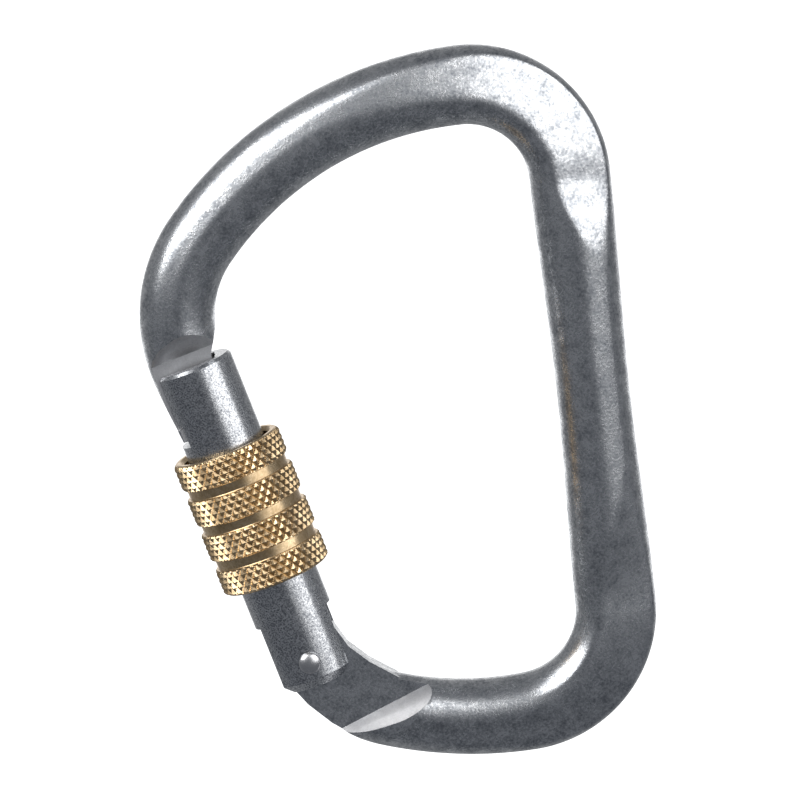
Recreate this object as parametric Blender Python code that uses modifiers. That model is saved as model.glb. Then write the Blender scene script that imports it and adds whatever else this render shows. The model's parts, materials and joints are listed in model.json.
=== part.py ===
"""Steel screw-gate carabiner: forged body, hinged gate, brass locking sleeve, gate mechanism.

World frame: origin at the inner apex of the wide basket, +Z parallel to the straight spine,
gate on the -X side, front face toward -Y.  Lengths below are millimetres.
"""
import bpy
import bmesh
import math
from mathutils import Matrix

for old in list(bpy.data.objects):
    bpy.data.objects.remove(old)

MM = 0.001
# ---------------------------------------------------------------- driving dimensions
PIVOT = (-33.1, -80.9)          # x, z of the hinge rivet
TILT = math.radians(15.0)       # lean of the closed gate away from the spine direction
SPINE_X = 15.9                  # spine centreline
SPINE_Z = (-77.8, -9.6)         # straight run of the spine
# arcs of the rod centreline: radius, turn in degrees
UPPER_ARCS = ((15.8, 90.3), (56.5, 49.1), (20.8, 55.6))
LOWER_ARCS = ((16.2, 86.6), (57.8, 41.0))
ROD_R = 6.0
CHORDS = (0.8, 8.4, 3.0)        # width of the forged flats: mid spine, corners, bow ends
FADE = (17.0, 26.0)             # length over which the flats fade along the spine: top, bottom
FLAT_TILT = math.radians(18.0)
SPINE_TILT = math.radians(22.0)  # extra tilt as a flat fades along the spine
NOSE_OFFSET = -0.85             # nose rod centreline measured from the gate axis

TUBE_R = 6.3
TUBE_TOP, TUBE_BOTTOM = 50.0, -4.3
CHEEK_U = 5.46                  # half width over the milled side flats
CHEEK_TOP = 7.1
TONGUE_T = 5.0                  # thickness of both milled tongues
SLOT_T = 5.7
BORE_R = 3.8
BORE_END = 31.0
BEAD_T, BEAD_H = 7.2, (38.9, 41.3)
POCKET_T, POCKET_H = 7.9, (38.2, 41.8)
NOSE_IN = 3.3                   # inner edge of the nose tongue

THREAD_PITCH = 2.0
GATE_THREAD = (15.6, 34.4)
GATE_THREAD_R = 6.85
SLEEVE_H = (13.8, 36.0)
SLEEVE_R, GROOVE_R, SLEEVE_BORE = 8.86, 8.2, 7.12
NUT_THREAD = (14.9, 20.6)
NUT_THREAD_R = 6.5
RING_H = (22.9, 24.5)
RING_R = (7.0, 7.62)

RIVET_R, DOME_R, RIVET_Y = 1.25, 1.75, 6.25
CAM_H, CAM_ARM = 4.2, 2.5       # height of the cam flat, offset of its contact point
PLUNGER_R = 3.4
PLUNGER_HEAD, PLUNGER_STEM = 5.2, 9.5   # heights of the head and of the whole plunger
SPRING_R, WIRE_R, SPRING_TURNS = 2.75, 0.38, 9

BAND_H, BAND_STEP = 4.28, 5.96  # height of a knurled band of the sleeve, and band spacing
BANDS = 4
GAP = 0.3                       # clearance kept between pieces that touch
FAR = 12.0                      # half size of a cutter that runs clear of the part

parts = bpy.data.collections.new("locking_carabiner")
tools = bpy.data.collections.new("cutters")
bpy.context.scene.collection.children.link(parts)
bpy.context.scene.collection.children.link(tools)
tools.hide_render = True


# ---------------------------------------------------------------- helpers
def material(name, colour, rough, metal):
    m = bpy.data.materials.new(name)
    m.use_nodes = True
    p = m.node_tree.nodes["Principled BSDF"]
    p.inputs["Base Color"].default_value = (*colour, 1.0)
    p.inputs["Roughness"].default_value = rough
    p.inputs["Metallic"].default_value = metal
    m.diffuse_color = (*colour, 1.0)
    return m


def gate_frame():
    """Gate axes at the rivet: x across toward the eye, y backward, z up the gate."""
    rot = Matrix.Rotation(-TILT, 4, "Y")
    return Matrix.Translation((PIVOT[0] * MM, 0, PIVOT[1] * MM)) @ rot


def mesh_object(name, bm, coll=parts, mat=None, frame=None):
    me = bpy.data.meshes.new(name)
    bm.normal_update()
    bm.to_mesh(me)
    bm.free()
    ob = bpy.data.objects.new(name, me)
    coll.objects.link(ob)
    if frame is not None:
        ob.matrix_world = frame
    if mat:
        me.materials.append(mat)
    if coll is tools:
        ob.hide_render = True
        ob.display_type = "WIRE"
    return ob


def prism(name, outline, lo, hi, plane, frame):
    """Cutter from a closed flat outline, extruded from lo to hi along the remaining axis.

    plane 'xz' extrudes along y, plane 'yz' along x."""
    curve = bpy.data.curves.new(name, "CURVE")
    curve.dimensions = "2D"
    curve.fill_mode = "BOTH"
    curve.extrude = (hi - lo) / 2 * MM
    spline = curve.splines.new("POLY")
    spline.points.add(len(outline) - 1)
    spline.use_cyclic_u = True
    for point, (a, b) in zip(spline.points, outline):
        point.co = (a * MM, b * MM, 0, 1)
    middle = (lo + hi) / 2 * MM
    if plane == "xz":
        place = Matrix.Translation((0, middle, 0)) @ Matrix.Rotation(math.pi / 2, 4, "X")
    else:
        place = Matrix.Translation((middle, 0, 0)) @ Matrix(((0, 0, 1), (1, 0, 0), (0, 1, 0))).to_4x4()
    flat = bpy.data.objects.new(name + "_outline", curve)
    tools.objects.link(flat)
    flat.matrix_world = frame @ place
    bpy.context.view_layer.update()
    graph = bpy.context.evaluated_depsgraph_get()
    bm = bmesh.new()
    bm.from_mesh(bpy.data.meshes.new_from_object(flat.evaluated_get(graph)))
    bmesh.ops.remove_doubles(bm, verts=bm.verts, dist=1e-7)
    bmesh.ops.recalc_face_normals(bm, faces=bm.faces)
    cutter = mesh_object(name, bm, tools, None, flat.matrix_world.copy())
    bpy.data.objects.remove(flat)
    return cutter


def box(name, x, y, z, frame):
    """Cutter with its sides along the frame's axes, each given as (low, high)."""
    size = [(hi - lo) * MM for lo, hi in (x, y, z)]
    centre = [(hi + lo) / 2 * MM for lo, hi in (x, y, z)]
    bm = bmesh.new()
    bmesh.ops.create_cube(bm, size=1.0, matrix=Matrix.Translation(centre) @ Matrix.Diagonal((*size, 1.0)))
    return mesh_object(name, bm, tools, None, frame)


def turned(name, profile, steps, frame, coll=parts, mat=None):
    """Profile of (radius, height) points, up the outer side, turned about the local z axis.

    A profile that starts and ends on the axis is solid; any other is closed into a ring."""
    bm = bmesh.new()
    points = [bm.verts.new((r * MM, 0, h * MM)) for r, h in reversed(profile)]
    for a, b in zip(points, points[1:]):
        bm.edges.new((a, b))
    if profile[0][0] > 0:
        bm.edges.new((points[-1], points[0]))
    ob = mesh_object(name, bm, coll, mat, frame)
    turn = ob.modifiers.new("turn", "SCREW")
    turn.axis = "Z"
    turn.angle = 2 * math.pi
    turn.steps = turn.render_steps = steps
    turn.use_merge_vertices = True
    turn.merge_threshold = 1e-6
    return ob


def cross_pin(name, radius, steps, frame):
    """Cutter for a round hole along the rivet's axis."""
    return turned(name, [(0, -FAR), (radius, -FAR), (radius, FAR), (0, FAR)], steps,
                  frame @ Matrix.Rotation(math.pi / 2, 4, "X"), tools)


def helix_ridge(name, heights, r_root, r_crest, frame, phase=0.0, steps=20):
    """Closed trapezoid ridge wound right-handed about the local z axis."""
    turns = (heights[1] - heights[0]) / THREAD_PITCH - 0.5
    count = int(turns * steps)
    z = heights[0] + 0.5
    bm = bmesh.new()
    section = ((r_root, z - 0.5), (r_crest, z - 0.27), (r_crest, z + 0.27), (r_root, z + 0.5))
    bm.faces.new([bm.verts.new((r * MM, 0, h * MM)) for r, h in section])
    bmesh.ops.rotate(bm, verts=bm.verts, cent=(0, 0, 0), matrix=Matrix.Rotation(phase, 3, "Z"))
    bmesh.ops.spin(bm, geom=bm.verts[:] + bm.edges[:] + bm.faces[:], cent=(0, 0, 0), axis=(0, 0, 1),
                   dvec=(0, 0, THREAD_PITCH / steps * MM), angle=2 * math.pi * count / steps, steps=count)
    bmesh.ops.holes_fill(bm, edges=bm.edges, sides=4)
    bmesh.ops.recalc_face_normals(bm, faces=bm.faces)
    return mesh_object(name, bm, tools, None, frame)


def boolean(target, tool, mode="DIFFERENCE"):
    mod = target.modifiers.new(tool.name, "BOOLEAN")
    mod.solver = "EXACT"
    mod.operation = mode
    mod.object = tool


def trace(x, z, heading, moves):
    """Points (x, z, heading) along a chain of lines and arcs; turn > 0 is to the left."""
    pts = [(x, z, heading)]
    for kind, size, turn, n in moves:
        x0, z0, h0 = pts[-1]
        for i in range(1, n + 1):
            t = i / n
            if kind == "line":
                pts.append((x0 + size * t * math.cos(h0), z0 + size * t * math.sin(h0), h0))
            else:
                s = 1 if turn > 0 else -1
                h = h0 + math.radians(turn) * t
                pts.append((x0 + s * size * (math.sin(h) - math.sin(h0)),
                            z0 - s * size * (math.cos(h) - math.cos(h0)), h))
    return pts


def smooth(t):
    t = max(0.0, min(1.0, t))
    return t * t * (3 - 2 * t)


# ---------------------------------------------------------------- body
def body_stations():
    up = trace(SPINE_X, SPINE_Z[1], math.pi / 2, (
        ("arc", UPPER_ARCS[0][0], UPPER_ARCS[0][1], 10),
        ("arc", UPPER_ARCS[1][0], UPPER_ARCS[1][1], 9),
        ("arc", UPPER_ARCS[2][0], UPPER_ARCS[2][1], 8),
        ("line", 11.1, 0, 1)))
    down = trace(SPINE_X, SPINE_Z[1], -math.pi / 2, (
        ("line", SPINE_Z[1] - SPINE_Z[0], 0, 10),
        ("arc", LOWER_ARCS[0][0], -LOWER_ARCS[0][1], 10),
        ("arc", LOWER_ARCS[1][0], -LOWER_ARCS[1][1], 8)))
    first = [(x, z, h + math.pi) for x, z, h in reversed(up)]
    return first + down[1:]


def section_sizes(x, z):
    """In-plane half width, flat chord and flat tilt of the rod at a centreline point."""
    high, low = SPINE_Z[1], SPINE_Z[0]
    if low <= z <= high and x > 0:                           # spine: the flats fade into a round rod
        t = smooth(max(1 - (high - z) / FADE[0], 1 - (z - low) / FADE[1]))
        half = 5.8 + 0.6 * smooth(abs(2 * (z - low) / (high - low) - 1))
        return half, CHORDS[0] + (CHORDS[1] - CHORDS[0]) * t, FLAT_TILT + SPINE_TILT * (1 - t)
    t = smooth((SPINE_X - x) / (42 if z > low + 20 else 36))  # wide corner and bow, or narrow corner
    return 6.4 - 0.45 * t, CHORDS[1] + (CHORDS[2] - CHORDS[1]) * t, FLAT_TILT


def section_ring(half, chord, tilt, n_arc, n_flat):
    """(outward, back) offsets around the rod: round with a flat on the front and back."""
    b = ROD_R
    beta = math.asin(min(0.95, chord / 2 / b))
    mid = math.pi / 2 - tilt
    pts = []

    def on(a):
        return half * math.cos(a), -b * math.sin(a)

    def flat(a0, a1):
        p, q = on(a0), on(a1)
        return [(p[0] + (q[0] - p[0]) * i / n_flat, p[1] + (q[1] - p[1]) * i / n_flat) for i in range(n_flat)]
    for i in range(n_arc):
        pts.append(on(-(mid - beta) + 2 * (mid - beta) * i / n_arc))
    pts += flat(mid - beta, mid + beta)
    inner = 2 * math.pi - 2 * (mid + beta)
    for i in range(n_arc):
        pts.append(on(mid + beta + inner * i / n_arc))
    pts += flat(2 * math.pi - mid - beta, 2 * math.pi - mid + beta)
    return pts


def loft_body(n_arc=9, n_flat=2):
    bm = bmesh.new()
    rows = []
    for x, z, h in body_stations():
        ox, oz = -math.sin(h), math.cos(h)
        row = [bm.verts.new(((x + ox * u) * MM, v * MM, (z + oz * u) * MM))
               for u, v in section_ring(*section_sizes(x, z), n_arc, n_flat)]
        rows.append(row)
    n = len(rows[0])
    bm.faces.new(rows[0])
    bm.faces.new(rows[-1][::-1])
    for a, b in zip(rows, rows[1:]):
        for k in range(n):
            m = (k + 1) % n
            bm.faces.new((a[k], b[k], b[m], a[m]))
    bmesh.ops.recalc_face_normals(bm, faces=bm.faces)
    return bm


def cam_outline():
    """Points of the hinge-tongue cam: every degree of swing lifts the plunger by the same amount."""
    pts = []
    for i in range(7):
        a = math.radians(6.0 * i)
        lift = CAM_H + CAM_ARM * a
        pts.append((lift * math.sin(a) + CAM_ARM * math.cos(a), lift * math.cos(a) - CAM_ARM * math.sin(a)))
    return pts


def make_body():
    steel = material("forged_steel", (0.42, 0.44, 0.47), 0.42, 0.9)
    gf = gate_frame()
    body = mesh_object("body", loft_body(), parts, steel)
    # nose: flat tongue with a ramped shoulder, wider bead at the tip
    t, b = TONGUE_T / 2, BEAD_T / 2
    for side, tag in ((-1, "front"), (1, "back")):
        mill = [(side * b, 30), (side * b, BEAD_H[1]), (side * t, BEAD_H[1]), (side * t, 52.0),
                (side * 7.0, 56.5), (side * FAR, 56.5), (side * FAR, 30)]
        boolean(body, prism("nose_mill_" + tag, mill, -FAR, FAR, "yz", gf))
    boolean(body, box("nose_tip", (-FAR, FAR), (-FAR, FAR), (20, BEAD_H[0]), gf))
    boolean(body, prism("nose_inside", [(NOSE_IN, 30), (14, 30), (14, 54.4), (5.7, 54.4), (NOSE_IN, 50.5)],
                        -FAR, FAR, "xz", gf))
    boolean(body, prism("nose_outside", [(-12, 30), (-5.55, 30), (-5.55, 38), (-6.7, 49.5), (-12, 49.5)],
                        -FAR, FAR, "xz", gf))
    # hinge: flat tongue, diagonal ramped shoulder
    lean = math.radians(6.2)
    sx, sh = 1.6, -12.4
    shoulder = gf @ Matrix.Translation((sx * MM, 0, sh * MM)) @ Matrix.Rotation(-lean, 4, "Y")
    for side, tag in ((-1, "front"), (1, "back")):
        mill = [(side * t, 30), (side * t, 0), (side * 7.0, -3.6), (side * FAR, -3.6), (side * FAR, 30)]
        boolean(body, prism("hinge_mill_" + tag, mill, -25, 25, "yz", shoulder))
    # outline of the tongue: outer curve, rounded heel, cam for the plunger
    heel = [(9.6, -21.2), (5.8, -18.1), (2.7, -15.1), (-0.5, -11.1), (-2.9, -7.0), (-3.9, -4.4),
            (-4.7, -1.2), (-4.5, 1.2), (-3.6, 3.2), (-2.2, CAM_H)]
    boolean(body, prism("hinge_heel", heel + [(-2.2, 22), (-24, 22), (-24, -30), (6, -30)], -FAR, FAR, "xz",
                        gf))
    tongue = heel[4:] + cam_outline() + [(6.4, -0.6), (8.6, -4.2), (12.0, -8.2), (8.0, -10.5), (2.0, -9.5)]
    boolean(body, prism("hinge_tongue", tongue, -t, t, "xz", gf), "UNION")
    boolean(body, cross_pin("hinge_hole", RIVET_R + GAP + 0.05, 20, gf))
    return body


# ---------------------------------------------------------------- gate
def make_gate():
    steel = material("gate_steel", (0.36, 0.38, 0.41), 0.5, 0.9)
    gf = gate_frame()
    profile = [(0, TUBE_BOTTOM), (TUBE_R - 1.3, TUBE_BOTTOM), (TUBE_R, TUBE_BOTTOM + 1.4),
               (TUBE_R, TUBE_TOP - 0.5), (TUBE_R - 0.5, TUBE_TOP), (0, TUBE_TOP)]
    gate = turned("gate_tube", profile, 40, gf, parts, steel)
    ridge = helix_ridge("gate_thread", GATE_THREAD, TUBE_R - 0.35, GATE_THREAD_R, gf)
    boolean(gate, ridge, "UNION")
    for side, tag in ((-1, "outer"), (1, "inner")):
        x = sorted((side * CHEEK_U, side * FAR))
        boolean(gate, box("cheek_" + tag, x, (-FAR, FAR), (-FAR, CHEEK_TOP), gf))
    boolean(gate, box("hinge_slot", (-14, 14), (-SLOT_T / 2, SLOT_T / 2), (-FAR, 7.0), gf))
    boolean(gate, turned("spring_bore", [(0, -FAR), (BORE_R, -FAR), (BORE_R, BORE_END), (0, BORE_END + 1.2)],
                         28, gf, tools))
    boolean(gate, turned("nose_bore", [(0, POCKET_H[0]), (BORE_R + 0.1, POCKET_H[0]),
                                       (BORE_R + 0.1, 70), (0, 70)], 28, gf, tools))
    boolean(gate, box("nose_slot", (-14, NOSE_IN + 0.45), (-SLOT_T / 2, SLOT_T / 2), (POCKET_H[0], 70), gf))
    boolean(gate, box("nose_pocket", (-14, NOSE_IN + 0.45), (-POCKET_T / 2, POCKET_T / 2), POCKET_H, gf))
    boolean(gate, cross_pin("rivet_holes", RIVET_R + GAP + 0.02, 20, gf))
    return gate


def make_rivet():
    steel = material("rivet_steel", (0.62, 0.62, 0.63), 0.2, 1.0)
    top = RIVET_Y + 0.35
    half = [(RIVET_R, top - 0.001), (DOME_R, top)]
    for i in range(1, 5):
        a = math.pi / 2 * i / 5
        half.append((DOME_R * math.cos(a), top + 0.25 + 0.85 * math.sin(a)))
    profile = [(0, -(top + 1.1))] + [(r, -h) for r, h in reversed(half)] + half + [(0, top + 1.1)]
    across = gate_frame() @ Matrix.Rotation(math.pi / 2, 4, "X")
    return turned("hinge_rivet", profile, 24, across, parts, steel)


def make_plunger():
    steel = material("plunger_steel", (0.5, 0.5, 0.5), 0.35, 0.9)
    base = CAM_H + GAP
    head, top = base + PLUNGER_HEAD, base + PLUNGER_STEM
    profile = [(0, base), (PLUNGER_R - 0.3, base), (PLUNGER_R, base + 0.3), (PLUNGER_R, head),
               (1.9, head), (1.9, top - 0.5), (1.5, top), (0, top)]
    return turned("spring_plunger", profile, 28, gate_frame(), parts, steel)


def make_spring():
    steel = material("spring_steel", (0.45, 0.46, 0.48), 0.35, 1.0)
    lo, hi = CAM_H + GAP + PLUNGER_HEAD + GAP + WIRE_R, BORE_END - GAP - WIRE_R
    cu = bpy.data.curves.new("gate_spring", "CURVE")
    cu.dimensions = "3D"
    cu.bevel_depth = WIRE_R * MM
    cu.bevel_resolution = 2
    cu.use_fill_caps = True
    sp = cu.splines.new("POLY")
    n = SPRING_TURNS * 16
    sp.points.add(n)
    for i in range(n + 1):
        t = i / n
        a = 2 * math.pi * SPRING_TURNS * t
        sp.points[i].co = (SPRING_R * MM * math.cos(a), SPRING_R * MM * math.sin(a),
                           (lo + (hi - lo) * t) * MM, 1)
    ob = bpy.data.objects.new("gate_spring", cu)
    parts.objects.link(ob)
    ob.matrix_world = gate_frame()
    cu.materials.append(steel)
    return ob


# ---------------------------------------------------------------- sleeve
def make_sleeve():
    brass = material("sleeve_brass", (0.80, 0.58, 0.28), 0.3, 1.0)
    gf = gate_frame()
    lo, hi = SLEEVE_H
    outer = []
    for i in range(BANDS):
        h = lo + i * BAND_STEP
        inset = 0.5 if i == 0 else 0.12
        outer += [(SLEEVE_R - inset, h), (SLEEVE_R, h + inset)]
        last = i == BANDS - 1
        inset = 0.5 if last else 0.12
        top = hi if last else h + BAND_H
        outer += [(SLEEVE_R, top - inset), (SLEEVE_R - inset, top)]
        if not last:
            outer += [(GROOVE_R, top + 0.05), (GROOVE_R, h + BAND_STEP - 0.05)]
    ring_lo, ring_hi, ring_out = RING_H[0] - GAP, RING_H[1] + GAP, RING_R[1] + GAP + 0.02
    inner = [(SLEEVE_BORE + 0.45, hi), (SLEEVE_BORE, hi - 0.6), (SLEEVE_BORE, ring_hi), (ring_out, ring_hi),
             (ring_out, ring_lo), (SLEEVE_BORE, ring_lo), (SLEEVE_BORE, lo + 0.5), (SLEEVE_BORE + 0.3, lo)]
    sleeve = turned("locking_sleeve", outer + inner, 40, gf, parts, brass)
    ridge = helix_ridge("sleeve_thread", NUT_THREAD, SLEEVE_BORE + 0.35, NUT_THREAD_R, gf,
                        phase=thread_phase())
    boolean(sleeve, ridge, "UNION")
    return sleeve


def thread_phase():
    """Turn the sleeve thread so that it lies midway between the gate threads."""
    start = NUT_THREAD[0] - GATE_THREAD[0]
    return 2 * math.pi * ((start / THREAD_PITCH + 0.5) % 1.0)


def make_ring():
    rubber = material("ring_rubber", (0.03, 0.03, 0.03), 0.7, 0.0)
    lo, hi = RING_H
    profile = [(RING_R[0] + 0.15, lo), (RING_R[1] - 0.15, lo), (RING_R[1], lo + 0.25), (RING_R[1], hi - 0.25),
               (RING_R[1] - 0.15, hi), (RING_R[0] + 0.15, hi), (RING_R[0], hi - 0.25), (RING_R[0], lo + 0.25)]
    return turned("sleeve_friction_ring", profile, 40, gate_frame(), parts, rubber)


make_body()
make_gate()
make_rivet()
make_plunger()
make_spring()
make_sleeve()
make_ring()
bpy.context.view_layer.update()
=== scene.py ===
"""Looks of the steel screw-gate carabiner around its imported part. Lengths are millimetres."""
import json
import math
import bpy
import bmesh
from mathutils import Vector, Matrix

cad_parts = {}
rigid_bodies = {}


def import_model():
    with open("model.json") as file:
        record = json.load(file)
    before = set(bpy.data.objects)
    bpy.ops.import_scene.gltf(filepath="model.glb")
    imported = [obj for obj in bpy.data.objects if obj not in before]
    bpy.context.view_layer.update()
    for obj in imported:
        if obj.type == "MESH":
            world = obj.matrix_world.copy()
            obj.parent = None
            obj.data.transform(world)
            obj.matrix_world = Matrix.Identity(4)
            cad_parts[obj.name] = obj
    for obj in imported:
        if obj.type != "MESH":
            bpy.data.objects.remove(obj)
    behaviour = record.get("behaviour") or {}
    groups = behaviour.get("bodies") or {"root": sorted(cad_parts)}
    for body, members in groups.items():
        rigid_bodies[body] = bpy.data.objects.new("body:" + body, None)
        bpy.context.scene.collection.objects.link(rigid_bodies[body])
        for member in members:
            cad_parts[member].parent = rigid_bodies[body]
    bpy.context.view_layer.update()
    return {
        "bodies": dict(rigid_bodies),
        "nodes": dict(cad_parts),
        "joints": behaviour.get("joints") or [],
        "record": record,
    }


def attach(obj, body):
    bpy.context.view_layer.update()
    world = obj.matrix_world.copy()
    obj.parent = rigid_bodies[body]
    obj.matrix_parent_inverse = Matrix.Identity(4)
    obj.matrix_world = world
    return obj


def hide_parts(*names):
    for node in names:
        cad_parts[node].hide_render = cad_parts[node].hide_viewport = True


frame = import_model()

MM = 0.001
# ---------------------------------------------------------------- driving dimensions
PIVOT = (-33.1, -80.9)          # x, z of the hinge rivet
TILT = math.radians(15.0)       # lean of the closed gate away from the spine direction
SPINE_X = 15.9                  # spine centreline
SPINE_Z = (-77.8, -9.6)         # straight run of the spine
# arcs of the rod centreline: radius, turn in degrees
UPPER_ARCS = ((15.8, 90.3), (56.5, 49.1), (20.8, 55.6))
LOWER_ARCS = ((16.2, 86.6), (57.8, 41.0))
ROD_R = 6.0
CHORDS = (0.8, 8.4, 3.0)        # width of the forged flats: mid spine, corners, bow ends
FADE = (17.0, 26.0)             # length over which the flats fade along the spine: top, bottom
FLAT_TILT = math.radians(18.0)
SPINE_TILT = math.radians(22.0)  # extra tilt as a flat fades along the spine

TUBE_R = 6.3
TUBE_TOP, TUBE_BOTTOM = 50.0, -4.3
CHEEK_U = 5.46                  # half width over the milled side flats
CHEEK_TOP = 7.1
TONGUE_T = 5.0                  # thickness of both milled tongues
SLOT_T = 5.7
BORE_R = 3.8
BORE_END = 31.0
BEAD_T, BEAD_H = 7.2, (38.9, 41.3)
POCKET_T, POCKET_H = 7.9, (38.2, 41.8)
NOSE_IN = 3.3                   # inner edge of the nose tongue

THREAD_PITCH = 2.0
GATE_THREAD = (15.6, 34.4)
GATE_THREAD_R = 6.85
SLEEVE_H = (13.8, 36.0)
SLEEVE_R, GROOVE_R, SLEEVE_BORE = 8.86, 8.2, 7.12
NUT_THREAD = (14.9, 20.6)
NUT_THREAD_R = 6.5
RING_H = (22.9, 24.5)
RING_R = (7.0, 7.62)

RIVET_R, DOME_R, RIVET_Y = 1.25, 1.75, 6.25
CAM_H, CAM_ARM = 4.2, 2.5       # height of the cam flat, offset of its contact point
PLUNGER_R = 3.4
SPRING_R, WIRE_R, SPRING_TURNS = 2.75, 0.38, 9
PLUNGER_HEAD, PLUNGER_STEM = 5.2, 9.5   # heights of the head and of the whole plunger
BAND_H, BAND_STEP = 4.28, 5.96  # height of a knurled band of the sleeve, and band spacing
BANDS = 4
GAP = 0.3                       # clearance kept between pieces that touch
FAR = 12.0                      # half size of a cutter that runs clear of the part

# cutters that leave bright machined faces, and which of their faces do (None: all of them)
MACHINED = {"nose_mill_front": None, "nose_mill_back": None, "nose_inside": None,
            "hinge_mill_front": (3,), "hinge_mill_back": (3,)}
EDGE_SOFT = 4                   # smoothing passes that round the edges of the flats
KNURL_N, KNURL_STEP, KNURL_DEPTH = 38, 1.9, 0.45
FINE = 4                        # grid steps per half diamond of the knurl


# ---------------------------------------------------------------- helpers
def gate_frame():
    """Gate axes at the rivet: x across toward the eye, y backward, z up the gate."""
    rot = Matrix.Rotation(-TILT, 4, "Y")
    return Matrix.Translation((PIVOT[0] * MM, 0, PIVOT[1] * MM)) @ rot


def mesh_object(name, bm, frame=None):
    me = bpy.data.meshes.new(name)
    bm.normal_update()
    bm.to_mesh(me)
    bm.free()
    ob = bpy.data.objects.new(name, me)
    bpy.context.scene.collection.objects.link(ob)
    if frame is not None:
        ob.matrix_world = frame
    return ob


def prism(name, outline, lo, hi, plane, frame):
    """Solid from a closed outline, extruded from lo to hi along the remaining axis.

    plane 'xz' extrudes along y, plane 'yz' along x."""
    bm = bmesh.new()
    ends = []
    for w in (lo, hi):
        if plane == "xz":
            ends.append([bm.verts.new((a * MM, w * MM, b * MM)) for a, b in outline])
        else:
            ends.append([bm.verts.new((w * MM, a * MM, b * MM)) for a, b in outline])
    n = len(outline)
    bm.faces.new(ends[0])
    bm.faces.new(ends[1][::-1])
    for i in range(n):
        j = (i + 1) % n
        bm.faces.new((ends[0][i], ends[1][i], ends[1][j], ends[0][j]))
    bmesh.ops.recalc_face_normals(bm, faces=bm.faces)
    return mesh_object(name, bm, frame)


def box(name, x, y, z, frame):
    outline = [(x[0], z[0]), (x[1], z[0]), (x[1], z[1]), (x[0], z[1])]
    return prism(name, outline, y[0], y[1], "xz", frame)


def turned(name, profile, steps, frame):
    """Closed ring of (radius, height) points turned about the local z axis."""
    bm = bmesh.new()
    rows = []
    for r, h in profile:
        if r < 1e-6:
            rows.append([bm.verts.new((0, 0, h * MM))])
            continue
        rows.append([bm.verts.new((r * MM * math.cos(2 * math.pi * k / steps),
                                   r * MM * math.sin(2 * math.pi * k / steps), h * MM))
                     for k in range(steps)])
    closed = all(len(r) > 1 for r in rows)
    pairs = list(zip(rows, rows[1:])) + ([(rows[-1], rows[0])] if closed else [])
    for a, b in pairs:
        for k in range(steps):
            m = (k + 1) % steps
            if len(a) == 1:
                bm.faces.new((a[0], b[k], b[m]))
            elif len(b) == 1:
                bm.faces.new((a[k], b[0], a[m]))
            else:
                bm.faces.new((a[k], b[k], b[m], a[m]))
    bmesh.ops.recalc_face_normals(bm, faces=bm.faces)
    return mesh_object(name, bm, frame)


def cross_pin(name, radius, frame):
    """Cutter for a round hole along the rivet's axis."""
    return turned(name, [(0, -FAR), (radius, -FAR), (radius, FAR), (0, FAR)], 48,
                  frame @ Matrix.Rotation(math.pi / 2, 4, "X"))


def helix_ridge(name, heights, r_root, r_crest, frame, phase=0.0, steps=20):
    """Closed trapezoid ridge wound right-handed about the local z axis."""
    turns = (heights[1] - heights[0]) / THREAD_PITCH - 0.5
    n = int(turns * steps)
    bm = bmesh.new()
    rows = []
    for i in range(n + 1):
        a = 2 * math.pi * i / steps + phase
        z = heights[0] + 0.5 + THREAD_PITCH * i / steps
        sec = ((r_root, z - 0.5), (r_crest, z - 0.27), (r_crest, z + 0.27), (r_root, z + 0.5))
        rows.append([bm.verts.new((r * MM * math.cos(a), r * MM * math.sin(a), h * MM)) for r, h in sec])
    bm.faces.new(rows[0])
    bm.faces.new(rows[-1][::-1])
    for a, b in zip(rows, rows[1:]):
        for k in range(4):
            m = (k + 1) % 4
            bm.faces.new((a[k], b[k], b[m], a[m]))
    bmesh.ops.recalc_face_normals(bm, faces=bm.faces)
    return mesh_object(name, bm, frame)


def boolean(target, tool, mode="DIFFERENCE"):
    mod = target.modifiers.new(tool.name, "BOOLEAN")
    mod.solver = "EXACT"
    mod.operation = mode
    mod.object = tool
    if tool.name in MACHINED:                                # cut faces take the second material
        for ob in (target, tool):
            while len(ob.data.materials) < 2:
                ob.data.materials.append(None)
        for k in MACHINED[tool.name] or range(len(tool.data.polygons)):
            tool.data.polygons[k].material_index = 1


def trace(x, z, heading, moves):
    """Points (x, z, heading) along a chain of lines and arcs; turn > 0 is to the left."""
    pts = [(x, z, heading)]
    for kind, size, turn, n in moves:
        x0, z0, h0 = pts[-1]
        for i in range(1, n + 1):
            t = i / n
            if kind == "line":
                pts.append((x0 + size * t * math.cos(h0), z0 + size * t * math.sin(h0), h0))
            else:
                s = 1 if turn > 0 else -1
                h = h0 + math.radians(turn) * t
                pts.append((x0 + s * size * (math.sin(h) - math.sin(h0)),
                            z0 - s * size * (math.cos(h) - math.cos(h0)), h))
    return pts


def smooth(t):
    t = max(0.0, min(1.0, t))
    return t * t * (3 - 2 * t)


# ---------------------------------------------------------------- body
def body_stations():
    up = trace(SPINE_X, SPINE_Z[1], math.pi / 2, (
        ("arc", UPPER_ARCS[0][0], UPPER_ARCS[0][1], 40),
        ("arc", UPPER_ARCS[1][0], UPPER_ARCS[1][1], 40),
        ("arc", UPPER_ARCS[2][0], UPPER_ARCS[2][1], 30),
        ("line", 11.1, 0, 1)))
    down = trace(SPINE_X, SPINE_Z[1], -math.pi / 2, (
        ("line", SPINE_Z[1] - SPINE_Z[0], 0, 40),
        ("arc", LOWER_ARCS[0][0], -LOWER_ARCS[0][1], 40),
        ("arc", LOWER_ARCS[1][0], -LOWER_ARCS[1][1], 36)))
    first = [(x, z, h + math.pi) for x, z, h in reversed(up)]
    return first + down[1:]


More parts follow.
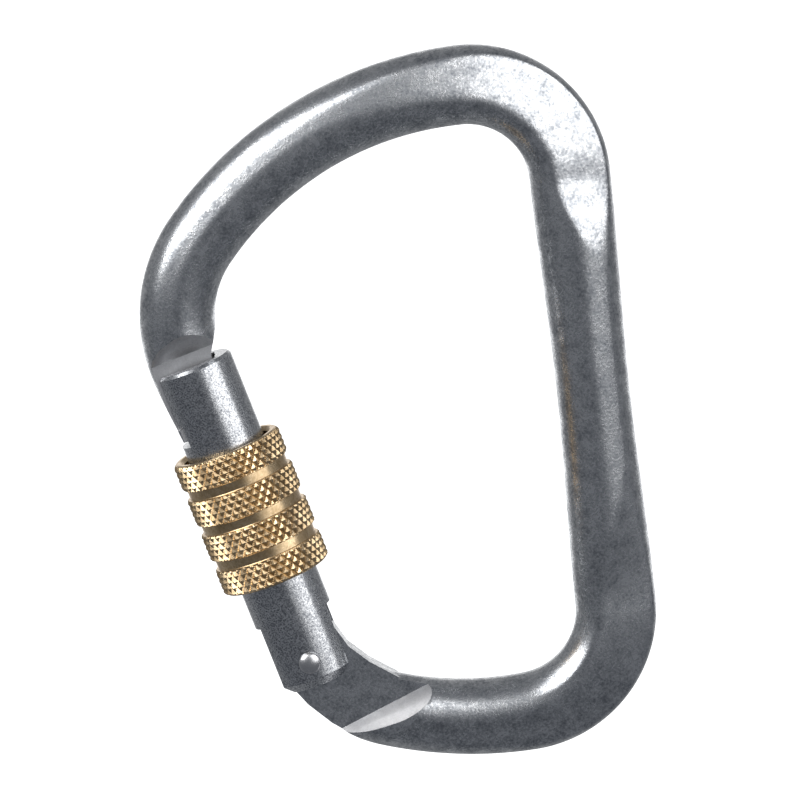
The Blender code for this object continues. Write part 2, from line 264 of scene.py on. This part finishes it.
def section_sizes(x, z):
    """In-plane half width, flat chord and flat tilt of the rod at a centreline point."""
    high, low = SPINE_Z[1], SPINE_Z[0]
    if low <= z <= high and x > 0:                           # spine: the flats fade into a round rod
        t = smooth(max(1 - (high - z) / FADE[0], 1 - (z - low) / FADE[1]))
        half = 5.8 + 0.6 * smooth(abs(2 * (z - low) / (high - low) - 1))
        return half, CHORDS[0] + (CHORDS[1] - CHORDS[0]) * t, FLAT_TILT + SPINE_TILT * (1 - t)
    t = smooth((SPINE_X - x) / (42 if z > low + 20 else 36))  # wide corner and bow, or narrow corner
    return 6.4 - 0.45 * t, CHORDS[1] + (CHORDS[2] - CHORDS[1]) * t, FLAT_TILT


def section_ring(half, chord, tilt, n_arc, n_flat):
    """(outward, back) offsets around the rod: round with a flat on the front and back."""
    b = ROD_R
    beta = math.asin(min(0.95, chord / 2 / b))
    mid = math.pi / 2 - tilt
    pts = []

    def on(a):
        return half * math.cos(a), -b * math.sin(a)

    def flat(a0, a1):
        p, q = on(a0), on(a1)
        return [(p[0] + (q[0] - p[0]) * i / n_flat, p[1] + (q[1] - p[1]) * i / n_flat) for i in range(n_flat)]
    for i in range(n_arc):
        pts.append(on(-(mid - beta) + 2 * (mid - beta) * i / n_arc))
    pts += flat(mid - beta, mid + beta)
    inner = 2 * math.pi - 2 * (mid + beta)
    for i in range(n_arc):
        pts.append(on(mid + beta + inner * i / n_arc))
    pts += flat(2 * math.pi - mid - beta, 2 * math.pi - mid + beta)
    n = len(pts)
    for _ in range(EDGE_SOFT):                               # rounds the edges of the flats
        pts = [tuple((pts[i - 1][k] + 2 * pts[i][k] + pts[(i + 1) % n][k]) / 4 for k in (0, 1))
               for i in range(n)]
    return pts


def loft_body(n_arc, n_flat):
    bm = bmesh.new()
    rows = []
    for x, z, h in body_stations():
        ox, oz = -math.sin(h), math.cos(h)
        row = [bm.verts.new(((x + ox * u) * MM, v * MM, (z + oz * u) * MM))
               for u, v in section_ring(*section_sizes(x, z), n_arc, n_flat)]
        rows.append(row)
    n = len(rows[0])
    bm.faces.new(rows[0])
    bm.faces.new(rows[-1][::-1])
    for a, b in zip(rows, rows[1:]):
        for k in range(n):
            m = (k + 1) % n
            bm.faces.new((a[k], b[k], b[m], a[m]))
    bmesh.ops.recalc_face_normals(bm, faces=bm.faces)
    return bm


def cam_outline():
    """Points of the hinge-tongue cam: every degree of swing lifts the plunger by the same amount."""
    pts = []
    for i in range(7):
        a = math.radians(6.0 * i)
        lift = CAM_H + CAM_ARM * a
        pts.append((lift * math.sin(a) + CAM_ARM * math.cos(a), lift * math.cos(a) - CAM_ARM * math.sin(a)))
    return pts


def make_body():
    gf = gate_frame()
    body = mesh_object("forged_body", loft_body(30, 8))
    # nose: flat tongue with a ramped shoulder, wider bead at the tip
    t, b = TONGUE_T / 2, BEAD_T / 2
    for side, tag in ((-1, "front"), (1, "back")):
        mill = [(side * b, 30), (side * b, BEAD_H[1]), (side * t, BEAD_H[1]), (side * t, 52.0),
                (side * 7.0, 56.5), (side * FAR, 56.5), (side * FAR, 30)]
        boolean(body, prism("nose_mill_" + tag, mill, -FAR, FAR, "yz", gf))
    boolean(body, box("nose_tip", (-FAR, FAR), (-FAR, FAR), (20, BEAD_H[0]), gf))
    boolean(body, prism("nose_inside", [(NOSE_IN, 30), (14, 30), (14, 54.4), (5.7, 54.4), (NOSE_IN, 50.5)],
                        -FAR, FAR, "xz", gf))
    boolean(body, prism("nose_outside", [(-12, 30), (-5.55, 30), (-5.55, 38), (-6.7, 49.5), (-12, 49.5)],
                        -FAR, FAR, "xz", gf))
    # hinge: flat tongue, diagonal ramped shoulder
    lean = math.radians(6.2)
    sx, sh = 1.6, -12.4
    shoulder = gf @ Matrix.Translation((sx * MM, 0, sh * MM)) @ Matrix.Rotation(-lean, 4, "Y")
    for side, tag in ((-1, "front"), (1, "back")):
        mill = [(side * t, 30), (side * t, 0), (side * 7.0, -3.6), (side * FAR, -3.6), (side * FAR, 30)]
        boolean(body, prism("hinge_mill_" + tag, mill, -25, 25, "yz", shoulder))
    # outline of the tongue: outer curve, rounded heel, cam for the plunger
    heel = [(9.6, -21.2), (5.8, -18.1), (2.7, -15.1), (-0.5, -11.1), (-2.9, -7.0), (-3.9, -4.4),
            (-4.7, -1.2), (-4.5, 1.2), (-3.6, 3.2), (-2.2, CAM_H)]
    boolean(body, prism("hinge_heel", heel + [(-2.2, 22), (-24, 22), (-24, -30), (6, -30)], -FAR, FAR, "xz",
                        gf))
    tongue = heel[4:] + cam_outline() + [(6.4, -0.6), (8.6, -4.2), (12.0, -8.2), (8.0, -10.5), (2.0, -9.5)]
    boolean(body, prism("hinge_tongue", tongue, -t, t, "xz", gf), "UNION")
    boolean(body, cross_pin("hinge_hole", RIVET_R + GAP + 0.05, gf))
    return body


# ---------------------------------------------------------------- fine pieces
def finish_piece(ob, angle):
    """Applies the cutters and shades the piece smooth up to this angle in degrees."""
    cutters = [m.object for m in ob.modifiers if m.type == "BOOLEAN"]
    dg = bpy.context.evaluated_depsgraph_get()
    me = bpy.data.meshes.new_from_object(ob.evaluated_get(dg))
    ob.modifiers.clear()
    ob.data = me
    for c in cutters:
        bpy.data.objects.remove(c)
    me.shade_smooth()
    me.set_sharp_from_angle(angle=math.radians(angle))
    return ob


def show(ob, body, slot_name, mat, *nodes):
    for k, m in enumerate(mat if isinstance(mat, tuple) else (mat,)):
        if k < len(ob.data.materials):
            ob.data.materials[k] = m
        else:
            ob.data.materials.append(m)
    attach(ob, body)
    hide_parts(*nodes)
    return ob


def make_gate():
    gf = gate_frame()
    profile = [(0, TUBE_BOTTOM), (TUBE_R - 1.3, TUBE_BOTTOM), (TUBE_R, TUBE_BOTTOM + 1.4),
               (TUBE_R, TUBE_TOP - 0.45), (TUBE_R - 0.45, TUBE_TOP), (0, TUBE_TOP)]
    gate = turned("gate_barrel", profile, 144, gf)
    ridge = helix_ridge("gate_thread", GATE_THREAD, TUBE_R - 0.35, GATE_THREAD_R, gf, steps=72)
    boolean(gate, ridge, "UNION")
    for side, tag in ((-1, "outer"), (1, "inner")):
        x = sorted((side * CHEEK_U, side * FAR))
        boolean(gate, box("cheek_" + tag, x, (-FAR, FAR), (-FAR, CHEEK_TOP), gf))
    boolean(gate, box("hinge_slot", (-14, 14), (-SLOT_T / 2, SLOT_T / 2), (-FAR, 7.0), gf))
    boolean(gate, turned("spring_bore", [(0, -FAR), (BORE_R, -FAR), (BORE_R, BORE_END), (0, BORE_END + 1.2)],
                         72, gf))
    boolean(gate, turned("nose_bore", [(0, POCKET_H[0]), (BORE_R + 0.1, POCKET_H[0]),
                                       (BORE_R + 0.1, 70), (0, 70)], 72, gf))
    boolean(gate, box("nose_slot", (-14, NOSE_IN + 0.45), (-SLOT_T / 2, SLOT_T / 2), (POCKET_H[0], 70), gf))
    boolean(gate, box("nose_pocket", (-14, NOSE_IN + 0.45), (-POCKET_T / 2, POCKET_T / 2), POCKET_H, gf))
    boolean(gate, cross_pin("rivet_holes", RIVET_R + GAP + 0.02, gf))
    return finish_piece(gate, 30)


def make_rivet():
    top = RIVET_Y + 0.35
    half = [(RIVET_R, top - 0.001), (DOME_R, top)]
    for i in range(1, 12):
        a = math.pi / 2 * i / 12
        half.append((DOME_R * math.cos(a), top + 0.25 + 0.85 * math.sin(a)))
    profile = [(0, -(top + 1.1))] + [(r, -h) for r, h in reversed(half)] + half + [(0, top + 1.1)]
    ob = turned("domed_rivet", profile, 64, gate_frame() @ Matrix.Rotation(math.pi / 2, 4, "X"))
    return finish_piece(ob, 50)


def make_plunger():
    base = CAM_H + GAP
    head, top = base + PLUNGER_HEAD, base + PLUNGER_STEM
    profile = [(0, base), (PLUNGER_R - 0.3, base), (PLUNGER_R, base + 0.3), (PLUNGER_R, head),
               (1.9, head), (1.9, top - 0.5), (1.5, top), (0, top)]
    return finish_piece(turned("turned_plunger", profile, 72, gate_frame()), 30)


def make_spring():
    lo, hi = CAM_H + GAP + PLUNGER_HEAD + GAP + WIRE_R, BORE_END - GAP - WIRE_R
    cu = bpy.data.curves.new("coil", "CURVE")
    cu.dimensions = "3D"
    cu.bevel_depth = WIRE_R * MM
    cu.bevel_resolution = 4
    cu.use_fill_caps = True
    sp = cu.splines.new("POLY")
    n = SPRING_TURNS * 36
    sp.points.add(n)
    for i in range(n + 1):
        a = 2 * math.pi * SPRING_TURNS * i / n
        h = lo + (hi - lo) * i / n
        sp.points[i].co = (SPRING_R * MM * math.cos(a), SPRING_R * MM * math.sin(a), h * MM, 1)
    ob = bpy.data.objects.new("coil_spring", cu)
    bpy.context.scene.collection.objects.link(ob)
    ob.matrix_world = gate_frame()
    return ob


def knurl(col, h):
    """Depth below the band's outer radius of a diamond knurl at grid column col and height h."""
    x = col / (2.0 * FINE)
    y = h / KNURL_STEP
    a, b = x + y, x - y
    fa, fb = abs(a - round(a)), abs(b - round(b))
    tip = 1 - 2 * max(fa, fb)
    return KNURL_DEPTH * (1 - min(1.0, tip / 0.86))


def make_sleeve():
    """Height field of rings around the gate axis: knurled bands, plain grooves, bored inside."""
    lo, hi = SLEEVE_H
    cols = KNURL_N * 2 * FINE
    dh = KNURL_STEP / 2 / FINE
    rows = []
    for i in range(BANDS):
        last = i == BANDS - 1
        h0 = lo + i * BAND_STEP
        h1 = hi if last else h0 + BAND_H
        low, high = (0.5 if i == 0 else 0.22), (0.55 if last else 0.22)
        rows.append((h0, [SLEEVE_R - low - 0.1] * cols))
        n0, n1 = math.ceil((h0 + 0.04) / dh), math.floor((h1 - 0.04) / dh)
        for k in range(n0, n1 + 1):
            h = k * dh
            cap = SLEEVE_R - max(0.0, low - (h - h0)) - max(0.0, high - (h1 - h))
            rows.append((h, [min(SLEEVE_R - knurl(c, h), cap) for c in range(cols)]))
        rows.append((h1, [SLEEVE_R - high - 0.1] * cols))
        if not last:
            rows.append((h1 + 0.05, [GROOVE_R + 0.06] * cols))
            rows.append((h1 + 0.13, [GROOVE_R] * cols))
            rows.append((h0 + BAND_STEP - 0.13, [GROOVE_R] * cols))
            rows.append((h0 + BAND_STEP - 0.05, [GROOVE_R + 0.06] * cols))
    ring_lo, ring_hi, ring_out = RING_H[0] - GAP, RING_H[1] + GAP, RING_R[1] + GAP + 0.02
    for r, h in ((SLEEVE_BORE + 0.55, hi), (SLEEVE_BORE + 0.4, hi - 0.1), (SLEEVE_BORE, hi - 0.6),
                 (SLEEVE_BORE, ring_hi), (ring_out, ring_hi), (ring_out, ring_lo), (SLEEVE_BORE, ring_lo),
                 (SLEEVE_BORE, lo + 0.5), (SLEEVE_BORE + 0.3, lo)):
        rows.append((h, [r] * cols))
    bm = bmesh.new()
    rings = [[bm.verts.new((r * MM * math.cos(2 * math.pi * c / cols),
                            r * MM * math.sin(2 * math.pi * c / cols), h * MM))
              for c, r in enumerate(radii)] for h, radii in rows]
    for q, (a, b) in enumerate(zip(rings, rings[1:] + rings[:1])):
        ra, rb = rows[q][1], rows[(q + 1) % len(rows)][1]
        for c in range(cols):
            d = (c + 1) % cols
            if abs(ra[c] - rb[d]) < abs(ra[d] - rb[c]):
                bm.faces.new((a[c], a[d], b[d]))
                bm.faces.new((a[c], b[d], b[c]))
            else:
                bm.faces.new((a[c], a[d], b[c]))
                bm.faces.new((a[d], b[d], b[c]))
    bmesh.ops.recalc_face_normals(bm, faces=bm.faces)
    sleeve = mesh_object("knurled_sleeve", bm, gate_frame())
    sleeve.data.shade_smooth()
    sleeve.data.set_sharp_from_angle(angle=math.radians(18))
    return sleeve


def make_sleeve_thread():
    start = NUT_THREAD[0] - GATE_THREAD[0]
    phase = 2 * math.pi * ((start / THREAD_PITCH + 0.5) % 1.0)
    ob = helix_ridge("sleeve_thread", NUT_THREAD, SLEEVE_BORE + 0.2, NUT_THREAD_R, gate_frame(), phase, 72)
    return finish_piece(ob, 30)


def make_ring():
    lo, hi = RING_H
    mid_r, mid_h = (RING_R[0] + RING_R[1]) / 2, (lo + hi) / 2
    half_r, half_h = (RING_R[1] - RING_R[0]) / 2, (hi - lo) / 2
    angles = [2 * math.pi * k / 20 for k in range(20)]
    profile = [(mid_r + half_r * math.cos(a), mid_h + half_h * math.sin(a)) for a in angles]
    return finish_piece(turned("friction_ring", profile, 96, gate_frame()), 60)


# ---------------------------------------------------------------- materials
def nodes_of(name):
    m = bpy.data.materials.new(name)
    m.use_nodes = True
    return m, m.node_tree, m.node_tree.nodes["Principled BSDF"]


def add(nt, kind, **values):
    n = nt.nodes.new(kind)
    for key, v in values.items():
        if key in n.inputs:
            n.inputs[key].default_value = v
        else:
            setattr(n, key, v)
    return n


def ramp(nt, source, stops):
    n = nt.nodes.new("ShaderNodeValToRGB")
    el = n.color_ramp.elements
    while len(el) > 1:
        el.remove(el[-1])
    el[0].position, el[0].color = stops[0][0], (*stops[0][1], 1)
    for pos, col in stops[1:]:
        e = el.new(pos)
        e.color = (*col, 1)
    nt.links.new(source, n.inputs["Fac"])
    return n


def worn_metal(name, dark, light, blotch, speck, rough, bump, metal=1.0, speck_mix=0.4, dent=900):
    """Metal whose colour and roughness vary in blotches and fine specks. Scales are per metre."""
    m, nt, p = nodes_of(name)
    co = add(nt, "ShaderNodeTexCoord")
    big = add(nt, "ShaderNodeTexNoise", Scale=blotch, Detail=5.0, Roughness=0.62)
    fine = add(nt, "ShaderNodeTexNoise", Scale=speck, Detail=3.0, Roughness=0.7)
    nt.links.new(co.outputs["Object"], big.inputs["Vector"])
    nt.links.new(co.outputs["Object"], fine.inputs["Vector"])
    mix = add(nt, "ShaderNodeMix", data_type="FLOAT")
    mix.inputs[0].default_value = speck_mix
    nt.links.new(big.outputs["Fac"], mix.inputs[2])
    nt.links.new(fine.outputs["Fac"], mix.inputs[3])
    col = ramp(nt, mix.outputs[0], ((0.38, dark), (0.62, light)))
    nt.links.new(col.outputs["Color"], p.inputs["Base Color"])
    ro = add(nt, "ShaderNodeMapRange")
    nt.links.new(mix.outputs[0], ro.inputs["Value"])
    for key, v in (("From Min", 0.35), ("From Max", 0.65), ("To Min", rough[1]), ("To Max", rough[0])):
        ro.inputs[key].default_value = v
    nt.links.new(ro.outputs["Result"], p.inputs["Roughness"])
    dents = add(nt, "ShaderNodeTexNoise", Scale=dent, Detail=2.0, Roughness=0.5)
    nt.links.new(co.outputs["Object"], dents.inputs["Vector"])
    b1 = add(nt, "ShaderNodeBump", Strength=bump[0], Distance=0.0001)
    nt.links.new(dents.outputs["Fac"], b1.inputs["Height"])
    b2 = add(nt, "ShaderNodeBump", Strength=bump[1], Distance=0.0001)
    nt.links.new(fine.outputs["Fac"], b2.inputs["Height"])
    nt.links.new(b1.outputs["Normal"], b2.inputs["Normal"])
    nt.links.new(b2.outputs["Normal"], p.inputs["Normal"])
    p.inputs["Metallic"].default_value = metal
    return m


# colour dark and light, blotch and speck scale, roughness range, strength of dents and grain
forged = worn_metal("forged_look", (0.27, 0.285, 0.31), (0.80, 0.81, 0.82), 420, 2300,
                    (0.22, 0.36), (0.14, 0.28), speck_mix=0.55, dent=800)
machined = worn_metal("machined_look", (0.56, 0.56, 0.57), (0.74, 0.74, 0.75), 700, 3500,
                      (0.40, 0.5), (0.03, 0.12))
barrel = worn_metal("barrel_look", (0.23, 0.24, 0.265), (0.80, 0.81, 0.82), 900, 3600,
                    (0.22, 0.32), (0.03, 0.08), speck_mix=0.85)
brass = worn_metal("brass_look", (0.46, 0.32, 0.17), (0.80, 0.61, 0.38), 500, 3000,
                   (0.24, 0.34), (0.02, 0.08))
polished = worn_metal("rivet_look", (0.55, 0.55, 0.56), (0.70, 0.70, 0.71), 900, 5000,
                      (0.26, 0.36), (0.03, 0.1))
turned_steel = worn_metal("plunger_look", (0.42, 0.42, 0.43), (0.58, 0.58, 0.59), 900, 5000,
                          (0.28, 0.4), (0.02, 0.2))
wire_steel = worn_metal("spring_look", (0.36, 0.37, 0.39), (0.52, 0.53, 0.55), 900, 5000,
                        (0.25, 0.36), (0.02, 0.2))
rubber = worn_metal("rubber_look", (0.015, 0.015, 0.015), (0.04, 0.04, 0.04), 900, 5000,
                    (0.6, 0.75), (0.05, 0.2), metal=0.0)

show(finish_piece(make_body(), 32), "frame", "forged_steel", (forged, machined), "body")
show(make_rivet(), "frame", "rivet_steel", polished, "hinge_rivet")
show(make_gate(), "gate", "gate_steel", barrel, "gate_tube")
show(make_plunger(), "plunger", "plunger_steel", turned_steel, "spring_plunger")
show(make_spring(), "plunger", "spring_steel", wire_steel, "gate_spring")
show(make_sleeve(), "sleeve", "sleeve_brass", brass, "locking_sleeve")
show(make_sleeve_thread(), "sleeve", "sleeve_brass", brass, "locking_sleeve")
show(make_ring(), "sleeve_carrier", "ring_rubber", rubber, "sleeve_friction_ring")


# ---------------------------------------------------------------- studio
# world brightness from behind the camera (0) to behind the object (1)
WORLD = ((0.40, (0.135, 0.143, 0.16)), (0.62, (0.19, 0.198, 0.212)), (0.955, (0.32, 0.325, 0.335)),
         (0.972, (1.2, 1.2, 1.2)))
TARGET = Vector((-14.35, 0.0, -42.15)) * MM       # point that the camera and the lights look at
CAM_YAW, CAM_PITCH, CAM_ROLL, CAM_D, CAM_LENS = -0.0155, 0.1658, -0.1118, 1.0455, 300.0
FLOOR_SIZE, FLOOR_PLACE = 4.2, (0, 4.0, -0.6)


def plane(name, size, matrix, mat):
    bm = bmesh.new()
    bmesh.ops.create_grid(bm, x_segments=1, y_segments=1, size=size / 2)
    me = bpy.data.meshes.new(name)
    bm.to_mesh(me)
    bm.free()
    ob = bpy.data.objects.new(name, me)
    bpy.context.scene.collection.objects.link(ob)
    ob.matrix_world = matrix
    me.materials.append(mat)
    return ob


def studio():
    m, nt, p = nodes_of("paper")
    p.inputs["Base Color"].default_value = (0.9, 0.9, 0.9, 1)
    p.inputs["Roughness"].default_value = 0.9
    p.inputs["Emission Color"].default_value = (1, 1, 1, 1)
    p.inputs["Emission Strength"].default_value = 1.2
    plane("floor", FLOOR_SIZE, Matrix.Translation(FLOOR_PLACE), m)
    bpy.context.scene.view_settings.view_transform = "Standard"
    w = bpy.context.scene.world or bpy.data.worlds.new("studio")
    bpy.context.scene.world = w
    w.use_nodes = True
    nt = w.node_tree
    bg = nt.nodes["Background"]
    co = nt.nodes.new("ShaderNodeTexCoord")
    sep = nt.nodes.new("ShaderNodeSeparateXYZ")
    nt.links.new(co.outputs["Generated"], sep.inputs[0])
    r = ramp(nt, sep.outputs["Y"], WORLD)
    mp = nt.nodes.new("ShaderNodeMapRange")
    nt.links.new(sep.outputs["Y"], mp.inputs["Value"])
    mp.inputs["From Min"].default_value = -1.0
    mp.inputs["From Max"].default_value = 1.0
    nt.links.new(mp.outputs["Result"], r.inputs["Fac"])
    nt.links.new(r.outputs["Color"], bg.inputs["Color"])
    bg.inputs["Strength"].default_value = 1.0


def softbox(name, azimuth, elevation, distance, size, power):
    """Area light seen from the object at this azimuth (0 in front, + to the right) and elevation."""
    la = bpy.data.lights.new(name, "AREA")
    la.shape = "RECTANGLE"
    la.size, la.size_y = size
    la.energy = power
    ob = bpy.data.objects.new(name, la)
    bpy.context.scene.collection.objects.link(ob)
    a, e = math.radians(azimuth), math.radians(elevation)
    d = Vector((math.sin(a) * math.cos(e), -math.cos(a) * math.cos(e), math.sin(e)))
    ob.location = TARGET + d * distance
    ob.rotation_mode = "QUATERNION"
    ob.rotation_quaternion = (-d).to_track_quat("-Z", "Y")
    return ob


def camera():
    cam = bpy.data.objects.new("camera", bpy.data.cameras.new("camera"))
    bpy.context.scene.collection.objects.link(cam)
    cam.data.lens = CAM_LENS
    cam.data.sensor_width = 36.0
    cam.data.dof.use_dof = False
    cam.data.clip_start, cam.data.clip_end = 0.01, 50
    b = Vector((math.sin(CAM_YAW) * math.cos(CAM_PITCH), -math.cos(CAM_YAW) * math.cos(CAM_PITCH),
                math.sin(CAM_PITCH)))
    r = Vector((0, 0, 1)).cross(b).normalized()
    u = b.cross(r)
    r2 = r * math.cos(CAM_ROLL) + u * math.sin(CAM_ROLL)
    u2 = u * math.cos(CAM_ROLL) - r * math.sin(CAM_ROLL)
    cam.matrix_world = Matrix.Translation(TARGET + b * CAM_D) @ Matrix((r2, u2, b)).transposed().to_4x4()
    bpy.context.scene.camera = cam


studio()
softbox("key_right", 45, 25, 0.9, (0.98, 0.90), 6.4)
softbox("key_left", -54, 40, 0.9, (0.76, 0.60), 7.5)
camera()
